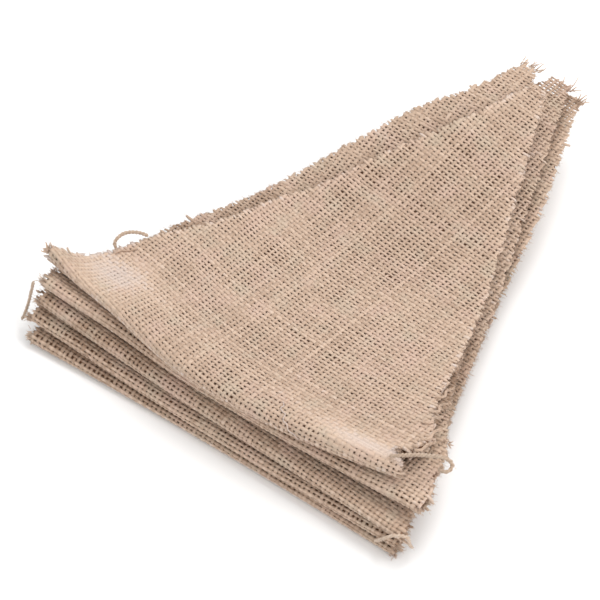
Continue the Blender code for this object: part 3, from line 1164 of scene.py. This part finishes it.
class Weaver:
    """Weaves the yarns of one flag along its folded shape."""

    def __init__(self, shape: FlagShape, seed: int) -> None:
        """Set out the crossings of the two yarn systems on the flat cloth.

        Args:
            shape: The flag's folded shape.
            seed: Seed of the flag's unevenness.
        """
        self.shape = shape
        self.chance = np.random.default_rng(seed)
        self.fluff = Fluff(TubePile(), np.random.default_rng(seed + FLUFF_SEED))
        self.top = shape.flag.name == TOP_FLAG
        self.bottom = shape.flag.name == BOTTOM_FLAG
        reach = shape.width / 2.0 + WEAVE.spare_across
        columns = 2 * int(reach / WEAVE.pitch_across) + 1
        low = int((shape.bottom_reach - WEAVE.spare_back) / WEAVE.pitch_back)
        high = int((shape.top_reach + WEAVE.spare_back) / WEAVE.pitch_back)
        rows = high - low + 1
        chance = self.chance
        across = (np.arange(columns) - columns // 2) * WEAVE.pitch_across
        back = np.arange(low, high + 1) * WEAVE.pitch_back
        across = across + chance.normal(0.0, WEAVE.slip * WEAVE.pitch_across, columns)
        back = back + chance.normal(0.0, WEAVE.slip * WEAVE.pitch_back, rows)
        cells = (max(2, rows // WEAVE.wander_cell[0]), max(2, columns // WEAVE.wander_cell[1]))
        bend_across = soft_noise(rows, columns, *cells, chance) * WEAVE.wander
        bend_back = soft_noise(rows, columns, *cells, chance) * WEAVE.wander
        grain = GRAIN[shape.flag.name]
        self.across = across[None, :] + grain * back[:, None] + bend_across * WEAVE.pitch_across
        self.back = back[:, None] - grain * across[None, :] + bend_back * WEAVE.pitch_back
        self.cover = 1.0 + WEAVE.cover_noise * soft_noise(
            rows, columns, rows // WEAVE.cover_cell[0], columns // WEAVE.cover_cell[1], chance)
        if not self.top:
            self.cover = self.cover * WEAVE.lower_cover
        self.tone = np.zeros_like(self.cover)
        self.relief = np.ones_like(self.cover)
        self.add_patches()
        self.add_painted_shadow()
        left, right = shape.edges(self.back)
        if self.top:
            rim = np.maximum(np.minimum(self.across - left, right - self.across), 0.0)
            self.tone = self.tone + SHADE.rim * np.exp(-(rim / SHADE.rim_reach) ** 2)
        self.inside = (self.across > left) & (self.across < right)
        self.inside &= (self.back > shape.bottom_reach) & (self.back < shape.top_reach)
        self.rows = rows
        self.columns = columns
        self.parity = (np.arange(rows)[:, None] + np.arange(columns)[None, :]) % 2 * 2 - 1
        # Near the fold the yarn on top at each crossing is painted paler and the one beneath
        # darker: painted highlight and shade of the weave's relief
        shown = 1.0 if not self.top else np.where(self.back < 0.0, 1.0, 0.0)
        near_fold = np.exp(-(self.back / SHADE.crossing_shading_reach) ** 2)
        self.knots = SHADE.crossing_shading * self.parity * near_fold * shown
        self.find_hidden(left, right)

    def add_patches(self) -> None:
        """Make the flag's patches paler or darker, closer or more open, and flatter."""
        for patch in PATCHES:
            if patch.flag == self.shape.flag.name:
                reach = (((self.across - patch.across) / patch.reach_across) ** 2
                         + ((self.back - patch.cloth) / patch.reach_cloth) ** 2)
                share = np.exp(-reach)
                self.tone = self.tone + patch.tone * share
                self.cover = self.cover * (1.0 + patch.cover * share)
                self.relief = self.relief * (1.0 - patch.flatness * share)

    def add_painted_shadow(self) -> None:
        """Paint shade on the upper layer under the flag above and a little past its edges, where
        its shadow falls.
        """
        place = FLAGS.index(self.shape.flag) + 1
        if place == len(FLAGS):
            return
        above = FlagShape(FLAGS[place])
        offset = self.shape.place(self.across, self.back)[..., :2] - above.middle
        across = offset @ above.along
        behind = offset @ above.back
        cloth = above.cloth_reach(behind)
        left, right = above.edges(np.maximum(cloth, 0.0))
        beyond = np.maximum(np.maximum(left - across, across - right),
                            np.maximum(-behind, cloth - above.top_reach))
        reach = np.where(across < (left + right) / 2.0, SHADE.contact_reach_left,
                         SHADE.contact_reach)
        share = np.exp(-(np.maximum(beyond, 0.0) / reach) ** 2)
        share = share * smooth((behind - SHADE.contact_start) / SHADE.contact_start)
        # Painted shadow: darker tone under the flag above and just past its cuts
        self.tone = self.tone + np.where(self.back > 0.0, SHADE.contact_shadow * share, 0.0)

    def find_hidden(self, left: np.ndarray, right: np.ndarray) -> None:
        """Mark the crossings that lie deep between the layers, where none is seen.

        Args:
            left: The left cut at each crossing.
            right: The right cut at each crossing.
        """
        inset = WEAVE.hidden_inset
        hidden = (self.across > left + inset) & (self.across < right - inset)
        hidden &= (self.back > WEAVE.hidden_above) | (self.back < -WEAVE.hidden_below)
        if self.top:
            hidden &= self.back < 0.0
        if self.bottom:
            hidden &= self.back > 0.0
        self.hidden = hidden

    @staticmethod
    def runs(line: np.ndarray) -> Iterator[tuple[int, int]]:
        """Yield the first and last index of each unbroken run inside the cloth.

        Args:
            line: Whether each crossing of a yarn is inside.

        Yields:
            The first and the last index.
        """
        edges = np.flatnonzero(np.diff(np.concatenate(([0], line.astype(int), [0]))))
        for first, last in zip(edges[::2], edges[1::2]):
            if last - first >= 2:
                yield int(first), int(last) - 1

    def weave(self, system: System, pile: TubePile) -> None:
        """Add every yarn of one system to a pile of tubes.

        Args:
            system: The yarn system.
            pile: The pile.
        """
        upright = system is System.BACKWARD
        lines = self.columns if upright else self.rows
        for line in range(lines):
            pick = (slice(None), line) if upright else (line, slice(None))
            thick = 1.0 + WEAVE.yarn_noise * self.chance.normal()
            tone = float(np.clip(self.chance.normal() * SHADE.yarn_noise, -SHADE.yarn_most,
                                 SHADE.yarn_most))
            for first, last in self.runs(self.inside[pick]):
                self.add_yarn(pile, pick, first, last, system, thick, tone)

    def samples(self, hidden: np.ndarray, rings: np.ndarray) -> np.ndarray:
        """Return where along a yarn its rings stand, in crossings.

        Args:
            hidden: Whether each crossing is deep between the layers.
            rings: How many rings each crossing has.

        Returns:
            The places, from 0 to the last crossing.
        """
        last = len(hidden) - 1
        places = []
        for index in range(last):
            if hidden[index] and hidden[index + 1]:
                if index % WEAVE.hidden_stride == 0:
                    places.append(float(index))
                continue
            count = int(rings[index])
            places.extend(index + part / count for part in range(count))
        places.append(float(last))
        return np.array(places)

    def add_yarn(self, pile: TubePile, pick: Pick, first: int, last: int, system: System,
                 thick: float, tone: float) -> None:
        """Add one yarn from cut to cut, with its two frayed ends.

        Args:
            pile: The pile to add to.
            pick: The yarn's row or column in the crossings.
            first: Its first crossing.
            last: Its last crossing.
            system: The yarn system.
            thick: How thick the yarn is, about 1.
            tone: The yarn's own tone.
        """
        chance = self.chance
        span = slice(first, last + 1)
        upright = system is System.BACKWARD
        hidden = self.hidden[pick][span]
        cloth = self.back[pick][span]
        rings = np.where((np.abs(cloth) < WEAVE.fold_reach) & upright, WEAVE.fold_rings, 1)
        if self.top:
            rings = np.where(cloth > WEAVE.fine_from, WEAVE.fine_rings, rings)
        index = np.arange(last - first + 1, dtype=float)
        where = self.samples(hidden, rings)
        nearest = np.round(where).astype(int)
        across = np.interp(where, index, self.across[pick][span])
        back = np.interp(where, index, cloth)
        half = WEAVE.half_width_back if upright else WEAVE.half_width_across
        lean = -1.0 if upright else 1.0
        noise = np.clip(chance.normal(0.0, 1.0, len(index)), -WEAVE.width_most, WEAVE.width_most)
        uneven = 1.0 + WEAVE.width_noise * noise
        widths = half * thick * np.interp(where, index, self.cover[pick][span] * uneven)
        wave = np.cos(math.pi * (where - nearest))
        widths = widths * (1.0 - WEAVE.waist * (1.0 - wave))
        crimp = -WEAVE.crimp_back if upright else WEAVE.crimp_across
        lift = self.parity[pick][span][nearest] * crimp * wave ** WEAVE.knuckle
        relief = np.interp(where, index, self.relief[pick][span])
        lift = np.where(hidden[nearest], 0.0, (lift + lean * WEAVE.ride) * relief)
        centres = self.shape.place(across, back)
        normals = self.shape.normals(across, back)
        centres = centres + normals * lift[:, None]
        gaps = self.gaps_to_cuts(across, back, upright)
        # Tone from the flag's patches, its painted shadow and its painted crossing highlight and
        # shade
        patch = np.interp(where, index, (self.tone + lean * self.knots)[pick][span])
        at_fold = not upright and abs(back[0]) < FRAY.fold_reach
        most = FRAY.fold_most if at_fold else FRAY.most
        centres, normals, widths = self.fray(centres, normals, widths, gaps, most, tone)
        sides, ups = cloth_axes(centres, normals)
        heights = np.minimum(WEAVE.half_thickness * thick, widths)
        patch, relief = (np.concatenate((part[:1], part[:1], part, part[-1:], part[-1:]))
                         for part in (patch, relief))
        own = tone + lean * SHADE.lean + chance.normal(0.0, SHADE.ring_noise, len(widths))
        pile.add_tube(centres, sides, ups, widths, heights, Section.BLUNT, own * relief + patch)

    def gaps_to_cuts(self, across: np.ndarray, back: np.ndarray,
                     upright: bool) -> tuple[float, float]:
        """Return how far the cuts lie beyond a yarn's first and last crossing.

        Args:
            across: The yarn's places along the fold.
            back: The yarn's places along the cloth.
            upright: Whether the yarn runs back from the fold.

        Returns:
            The distances at its first and at its last crossing.
        """
        if upright:
            return (float(self.chance.uniform(0.0, WEAVE.pitch_back)),
                    float(self.chance.uniform(0.0, WEAVE.pitch_back)))
        left, right = self.shape.edges(back)
        return (float(np.clip(across[0] - left[0], 0.0, WEAVE.pitch_across)),
                float(np.clip(right[-1] - across[-1], 0.0, WEAVE.pitch_across)))

    def fray(self, centres: np.ndarray, normals: np.ndarray, widths: np.ndarray,
             gaps: tuple[float, float], usual_most: float,
             tone: float) -> tuple[np.ndarray, ...]:
        """Lengthen both ends of a yarn to the cut and a little past it, with fibres.

        Args:
            centres: The yarn's ring centres.
            normals: The cloth's normals at the rings.
            widths: The rings' half widths.
            gaps: How far the cuts lie beyond the first and the last ring.
            usual_most: How far most ends stand out of the cut at the most.
            tone: The yarn's tone.

        Returns:
            The centres, normals and half widths with the ends added.
        """
        chance = self.chance
        ends = []
        for end, inner, gap in ((0, 1, gaps[0]), (-1, -2, gaps[1])):
            outward = centres[end] - centres[inner]
            outward = unit(outward - normals[end] * (outward @ normals[end]))
            most = FRAY.long_most if chance.random() < FRAY.long_share else usual_most
            length = max(FRAY.shortest, gap + chance.uniform(FRAY.least, most))
            bend = chance.normal(0.0, FRAY.spread, 3) * length * FRAY.bend_share
            bend[2] -= FRAY.droop * length * FRAY.droop_share
            near = centres[end] + outward * length * FRAY.neck_place + bend * FRAY.neck_bend
            far = centres[end] + outward * length + bend
            near[2] = max(near[2], FRAY.lowest)
            far[2] = max(far[2], FRAY.lowest)
            ends.append((near, far))
            self.fluff.add_bunch(far, outward, FRAY.fibre_most, FRAY.fibres,
                                 FRAY.fibre_radius, FRAY.fibre_reach, tone)
        centres = np.vstack((ends[0][1], ends[0][0], centres, ends[1][0], ends[1][1]))
        normals = np.vstack((normals[:1], normals[:1], normals, normals[-1:], normals[-1:]))
        tapers = np.array((FRAY.end_width, FRAY.neck_width))
        widths = np.concatenate((widths[0] * tapers, widths, widths[-1] * tapers[::-1]))
        return centres, normals, widths

    def add_tufts(self) -> None:
        """Add the flag's bunches of loose fibres."""
        for tuft in TUFTS:
            if tuft.flag == self.shape.flag.name:
                cloth = np.array(tuft.cloth)
                left, right = self.shape.edges(cloth)
                across = (left + right) / 2.0 + tuft.side * (right - left) / 2.0
                start = self.shape.place(across, cloth)
                self.fluff.add_bunch(start, unit(np.array(tuft.direction)), tuft.length,
                                     tuft.fibres, tuft.radius, FRAY.tuft_reach, tuft.tone)

    def add_fuzz(self) -> None:
        """Add short fibres that stand off the visible cloth."""
        chance = self.fluff.chance
        places = np.argwhere(self.inside & ~self.hidden)
        count = FUZZ.top_count if self.top else FUZZ.lower_count
        for row, column in places[chance.integers(0, len(places), count)]:
            across = self.across[row, column] + chance.normal(0.0, FUZZ.scatter)
            back = self.back[row, column] + chance.normal(0.0, FUZZ.scatter)
            normal = self.shape.normals(across, back)
            start = self.shape.place(across, back) + normal * FUZZ.lift
            flat = np.cross(normal, chance.normal(0.0, 1.0, 3))
            self.fluff.add_fibre(start, unit(unit(flat) + normal * FUZZ.rise),
                                 FUZZ.length * chance.uniform(FUZZ.shortest, 1.0),
                                 FUZZ.radius, self.tone[row, column] + FUZZ.tone)

    def add_threads(self) -> None:
        """Add the loose threads and the locks that lie on the flag."""
        for thread in SURFACE_THREADS:
            if thread.flag == self.shape.flag.name:
                self.add_thread(thread)

    def add_thread(self, thread: SurfaceThread) -> None:
        """Add one loose thread, or one lock of strands twisted round each other.

        Args:
            thread: The thread or the lock.
        """
        flat = smooth_route(np.array(thread.route), LOCK.step)
        normals = self.shape.normals(flat[:, 0], flat[:, 1])
        centres = self.shape.place(flat[:, 0], flat[:, 1]) + normals * thread.lift
        sides, ups = cloth_axes(centres, normals)
        apart = 0.0
        sizes = np.full(len(centres), thread.radius)
        if thread.strands > 1:
            apart = thread.radius * LOCK.apart
            sizes = sizes * np.interp(np.arange(len(sizes)),
                                      (0, LOCK.root_rings, len(sizes) - 1),
                                      (LOCK.root_size, 1.0, LOCK.end_size))
        for strand in range(thread.strands):
            angle = (2.0 * math.pi * strand / thread.strands
                     + LOCK.twist * np.arange(len(centres)))[:, None]
            offset = (np.cos(angle) * sides + np.sin(angle) * ups) * apart
            tone = thread.tone + float(self.fluff.chance.normal(0.0, LOCK.tone_noise))
            self.fluff.pile.add_tube(centres + offset, sides, ups, sizes, sizes,
                                     Section.ROUND, tone)


@dataclass
class PaintedShadeSheet:
    """A thin dark sheet of painted shade under the yarns of one flag, seen through the holes
    between them in place of the shadowed layers below.
    """

    shape: FlagShape
    rows: int = 96
    columns: int = 30
    fold_share: float = 0.32
    thickness: float = 0.2

    def make(self, material: bpy.types.Material) -> bpy.types.Object:
        """Return the sheet of painted shade, a little inside the flag's cuts and finest at its
        fold.

        Args:
            material: The dark material of the painted shade.

        Returns:
            The object, linked to the scene.
        """
        margin = MARGINS[self.shape.flag.name]
        even = np.linspace(-1.0, 1.0, self.rows + 1)
        drawn = self.fold_share * even + (1.0 - self.fold_share) * even ** 3
        cloth = np.where(drawn < 0.0, -drawn * (self.shape.bottom_reach + margin.points),
                         drawn * (self.shape.top_reach - margin.points))
        left, right = self.shape.edges(cloth)
        share = np.linspace(0.0, 1.0, self.columns + 1)
        across = ((left + margin.cuts)[:, None] * (1.0 - share)
                  + (right - margin.cuts)[:, None] * share)
        back = np.repeat(cloth[:, None], self.columns + 1, axis=1)
        inner = (self.shape.place(across, back)
                 - WEAVE.sheet_depth * self.shape.normals(across, back))
        points = to_metres(inner).reshape(-1, 3)
        across_count = self.columns + 1
        corners = (np.arange(self.rows)[:, None] * across_count
                   + np.arange(self.columns)[None, :]).ravel()
        faces = np.stack((corners, corners + 1, corners + across_count + 1,
                          corners + across_count), -1)
        name = self.shape.flag.name + "_cloth"
        mesh = bpy.data.meshes.new(name)
        mesh.from_pydata(points.tolist(), [], faces.tolist())
        # On the lower flags the sheet is darker near the fold: painted shade in the folds
        if self.shape.flag.name != TOP_FLAG:
            tone = mesh.attributes.new("tone", "FLOAT", "POINT")
            fold_shade = SHADE.fold * np.exp(-(back / SHADE.fold_reach) ** 2)
            tone.data.foreach_set("value", fold_shade.astype(np.float32).ravel())
        mesh.shade_smooth()
        piece = to_object(name, mesh, material)
        thicken = piece.modifiers.new("Cloth", "SOLIDIFY")
        thicken.thickness = self.thickness * MM
        thicken.offset = 0.0
        return piece


class Materials:
    """Makes and keeps the procedural materials."""

    def __init__(self) -> None:
        """Start with no material made."""
        self.made: dict[str, bpy.types.Material] = {}

    def get(self, finish: Finish) -> bpy.types.Material:
        """Return the material of a finish, made at its first use.

        Args:
            finish: The colours and the surface.

        Returns:
            The material.
        """
        if finish.name not in self.made:
            self.made[finish.name] = self.build(finish)
        return self.made[finish.name]

    def build(self, finish: Finish) -> bpy.types.Material:
        """Build a matt fibrous material that varies along and between the yarns.

        Args:
            finish: The colours and the surface.

        Returns:
            The material.
        """
        material = bpy.data.materials.new(finish.name)
        material.use_nodes = True
        tree = material.node_tree
        shader = tree.nodes["Principled BSDF"]
        shader.inputs["Roughness"].default_value = finish.roughness
        shader.inputs["Specular IOR Level"].default_value = JUTE.specular
        shader.inputs["Sheen Weight"].default_value = JUTE.sheen
        shader.inputs["Sheen Roughness"].default_value = JUTE.sheen_roughness
        place = tree.nodes.new("ShaderNodeTexCoord")
        tree.links.new(self.colour(tree, place, finish), shader.inputs["Base Color"])
        grain = self.noise(tree, place, JUTE.grain_scale, JUTE.grain_detail)
        bump = tree.nodes.new("ShaderNodeBump")
        bump.inputs["Strength"].default_value = finish.bump
        bump.inputs["Distance"].default_value = JUTE.grain_depth
        tree.links.new(grain, bump.inputs["Height"])
        tree.links.new(bump.outputs["Normal"], shader.inputs["Normal"])
        return material

    def colour(self, tree: bpy.types.NodeTree, place: bpy.types.Node,
               finish: Finish) -> bpy.types.NodeSocket:
        """Return a finish's colour, by the yarns' tone and in soft patches over the cloth.

        Args:
            tree: The material's node tree.
            place: The texture coordinates.
            finish: The colours.

        Returns:
            The socket of the colour.
        """
        tone = tree.nodes.new("ShaderNodeAttribute")
        tone.attribute_name = "tone"
        # The tone carries painted shade and painted highlights as well as the yarns' own
        # differences
        pale = tuple(min(1.0, part * JUTE.pale_gain) for part in finish.colour)
        share = self.spread(tree, tone.outputs["Fac"], JUTE.paleness)
        colour = self.mix(tree, share, finish.dark, pale)
        for patch, scale, ramp in ((finish.warm, JUTE.warmth_scale, JUTE.warmth),
                                   (finish.cool, JUTE.coolness_scale, JUTE.coolness)):
            noise = self.noise(tree, place, scale, JUTE.patch_detail)
            colour = self.mix(tree, self.spread(tree, noise, ramp), colour, patch)
        # The highest tones turn to the painted highlight colour, which also pales loose fibre
        # ends
        share = self.spread(tree, tone.outputs["Fac"], JUTE.highlight_and_pale_fibre_ramp)
        return self.mix(tree, share, colour, finish.highlight_and_pale_fibre)

    @staticmethod
    def spread(tree: bpy.types.NodeTree, value: bpy.types.NodeSocket,
               ramp: Ramp) -> bpy.types.NodeSocket:
        """Turn values into a colour's share.

        Args:
            tree: The material's node tree.
            value: The values' socket.
            ramp: The range over which the share rises.

        Returns:
            The socket of the share.
        """
        node = tree.nodes.new("ShaderNodeMapRange")
        node.inputs["From Min"].default_value = ramp.low
        node.inputs["From Max"].default_value = ramp.high
        node.inputs["To Max"].default_value = ramp.most
        tree.links.new(value, node.inputs["Value"])
        return node.outputs["Result"]

    @staticmethod
    def mix(tree: bpy.types.NodeTree, share: bpy.types.NodeSocket,
            first: Triple | bpy.types.NodeSocket, second: Triple) -> bpy.types.NodeSocket:
        """Mix two colours.

        Args:
            tree: The material's node tree.
            share: The socket that says how much of the second is in the mix.
            first: The first colour, or the socket that gives it.
            second: The second colour.

        Returns:
            The socket of the mixed colour.
        """
        node = tree.nodes.new("ShaderNodeMix")
        node.data_type = "RGBA"
        if isinstance(first, tuple):
            node.inputs["A"].default_value = (*first, 1.0)
        else:
            tree.links.new(first, node.inputs["A"])
        node.inputs["B"].default_value = (*second, 1.0)
        tree.links.new(share, node.inputs["Factor"])
        return node.outputs["Result"]

    @staticmethod
    def noise(tree: bpy.types.NodeTree, place: bpy.types.Node, scale: float,
              detail: float) -> bpy.types.NodeSocket:
        """Return smooth noise over the cloth.

        Args:
            tree: The material's node tree.
            place: The texture coordinates.
            scale: How small its patches are.
            detail: How much finer noise lies in them.

        Returns:
            The socket of the noise.
        """
        node = tree.nodes.new("ShaderNodeTexNoise")
        node.inputs["Scale"].default_value = scale
        node.inputs["Detail"].default_value = detail
        tree.links.new(place.outputs["Object"], node.inputs["Vector"])
        return node.outputs["Fac"]


def settle(piece: bpy.types.Object) -> None:
    """Make a piece ride on the stack."""
    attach(piece, BODY)


def report(pieces: list[bpy.types.Object]) -> None:
    """Log the name and the number of faces of each piece."""
    for piece in pieces:
        LOG.info("%s: %d faces", piece.name, len(piece.data.polygons))


@dataclass
class HessianFlag:
    """One folded flag: its dark sheet of painted shade, its two yarn systems and its fluff."""

    flag: Flag
    seed: int
    materials: Materials

    def build(self) -> list[bpy.types.Object]:
        """Returns:
            The dark sheet of painted shade and the pieces on it.
        """
        shape = FlagShape(self.flag)
        shadow_sheet = PaintedShadeSheet(shape).make(self.materials.get(PAINTED_SHADE_FINISH))
        settle(shadow_sheet)
        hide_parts(self.flag.name)
        weaver = Weaver(shape, self.seed)
        yarn_material = self.materials.get(YARN_FINISH)
        pieces = []
        for system in System:
            pile = TubePile()
            weaver.weave(system, pile)
            pieces.append(pile.make(f"{self.flag.name}_yarns_{system.value}", yarn_material))
        weaver.add_tufts()
        weaver.add_fuzz()
        weaver.add_threads()
        pieces.append(weaver.fluff.pile.make(f"{self.flag.name}_fluff", yarn_material))
        for piece in pieces:
            settle(piece)
        return [shadow_sheet, *pieces]


@dataclass
class TwistedYarn:
    """A loose yarn of two twisted plies, with fibres standing off it."""

    yarn: LooseYarn
    chance: np.random.Generator
    step: float = 0.45
    twist: float = 2.0
    ply_share: float = 0.80
    ply_apart: float = 0.6
    end_size: float = 0.55
    taper: float = 0.5
    size_noise: float = 0.12
    tone_noise: float = 0.4
    fibres_per_step: float = 0.8
    fibre_least: float = 1.2
    fibre_most: float = 3.0
    fibre_radius: float = 0.07
    fibre_tone: float = 0.5

    def build(self, material: bpy.types.Material) -> bpy.types.Object:
        """Return the yarn in place of its solid.

        Args:
            material: The yarn's material.

        Returns:
            The object, linked to the scene.
        """
        route = smooth_route(np.array(self.yarn.route), self.step)
        tangents, sides, ups = free_axes(route)
        steps = np.linalg.norm(np.diff(route, axis=0), axis=1)
        length = np.concatenate(([0.0], np.cumsum(steps)))
        taper = np.minimum(1.0, self.end_size
                           + np.minimum(length, length[-1] - length) * self.taper)
        pile = TubePile()
        ply = self.yarn.radius * self.ply_share
        for turn in (0.0, math.pi):
            angle = (length * self.twist + turn)[:, None]
            offset = (np.cos(angle) * sides + np.sin(angle) * ups) * ply * self.ply_apart
            size = ply * taper * (1.0 + self.size_noise * self.chance.normal(size=len(route)))
            tone = self.chance.normal() + self.chance.normal(0.0, self.tone_noise, len(route))
            pile.add_tube(route + offset * taper[:, None], sides, ups, size, size,
                          Section.ROUND, tone)
        fluff = Fluff(pile, self.chance)
        for _ in range(int(len(route) * self.fibres_per_step)):
            at = int(self.chance.integers(0, len(route)))
            around = self.chance.uniform(0.0, 2.0 * math.pi)
            aim = unit(math.cos(around) * sides[at] + math.sin(around) * ups[at]
                       + tangents[at] * self.chance.normal(0.0, 1.0))
            reach = self.yarn.radius * self.chance.uniform(self.fibre_least, self.fibre_most)
            fluff.add_fibre(route[at], aim, reach, self.fibre_radius, self.fibre_tone)
        piece = pile.make(self.yarn.name + "_plies", material)
        settle(piece)
        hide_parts(self.yarn.name)
        return piece


@dataclass
class Studio:
    """The pale table, the camera and the soft studio light."""

    view: View
    table_half: float = 3.0
    table_tone: float = 0.95
    table_roughness: float = 0.9
    nearest_drawn: float = 0.05

    def build(self) -> None:
        """Build the table, the camera and the lights."""
        self.lay_table()
        self.place_camera()
        for lamp in LAMPS:
            self.hang(lamp)
        world = bpy.data.worlds.new("studio")
        world.use_nodes = True
        background = world.node_tree.nodes["Background"]
        background.inputs["Color"].default_value = (1.0, 1.0, 1.0, 1.0)
        background.inputs["Strength"].default_value = SKY_STRENGTH
        bpy.context.scene.world = world
        bpy.context.scene.view_settings.view_transform = "Standard"

    def lay_table(self) -> None:
        """Make the plain pale table that the stack lies on."""
        half = self.table_half
        mesh = bpy.data.meshes.new("table")
        mesh.from_pydata([(-half, -half, 0.0), (half, -half, 0.0), (half, half, 0.0),
                          (-half, half, 0.0)], [], [(0, 1, 2, 3)])
        material = bpy.data.materials.new("table_white")
        material.use_nodes = True
        shader = material.node_tree.nodes["Principled BSDF"]
        tone = self.table_tone
        shader.inputs["Base Color"].default_value = (tone, tone, tone, 1.0)
        shader.inputs["Roughness"].default_value = self.table_roughness
        to_object("table", mesh, material)

    def place_camera(self) -> None:
        """Create the camera at the view's angle and make it the scene's."""
        turn = math.radians(self.view.azimuth)
        rise = math.radians(self.view.elevation)
        backwards = np.array((math.sin(turn) * math.cos(rise),
                              -math.cos(turn) * math.cos(rise), math.sin(rise)))
        target = np.array(self.view.target)
        place = Vector(to_metres(target + backwards * self.view.distance))
        data = bpy.data.cameras.new("camera")
        data.lens = self.view.lens
        data.clip_start = self.nearest_drawn
        camera = bpy.data.objects.new("camera", data)
        self.aim(camera, place, Vector(to_metres(target)))
        bpy.context.scene.camera = camera

    def hang(self, lamp: Lamp) -> None:
        """Add a soft square light aimed at the middle of the stack.

        Args:
            lamp: The light's place, size, power and colour.
        """
        data = bpy.data.lights.new(lamp.name, "AREA")
        data.shape = "SQUARE"
        data.size = lamp.size
        data.energy = lamp.power
        data.color = lamp.colour
        self.aim(bpy.data.objects.new(lamp.name, data), Vector(lamp.place),
                 Vector((0.0, 0.0, 0.0)))

    @staticmethod
    def aim(thing: bpy.types.Object, place: Vector, target: Vector) -> None:
        """Put a camera or light at a place, facing a target, and link it.

        Args:
            thing: The camera or light.
            place: Where it stands, in metres.
            target: What it faces, in metres.
        """
        facing = (target - place).to_track_quat("-Z", "Y").to_matrix().to_4x4()
        thing.matrix_world = Matrix.Translation(place) @ facing
        bpy.context.scene.collection.objects.link(thing)


def main() -> None:
    """Build the looks of the stack over its frame, in order, and report each piece."""
    logging.basicConfig(level=logging.INFO, format="%(message)s")
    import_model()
    materials = Materials()
    Studio(View()).build()
    for index, flag in enumerate(FLAGS):
        report(HessianFlag(flag, FLAG_SEED + index, materials).build())
    chance = np.random.default_rng(YARN_SEED)
    for yarn in LOOSE_YARNS:
        report([TwistedYarn(yarn, chance).build(materials.get(LOOSE_FINISH))])


if __name__ == "__main__":
    main()
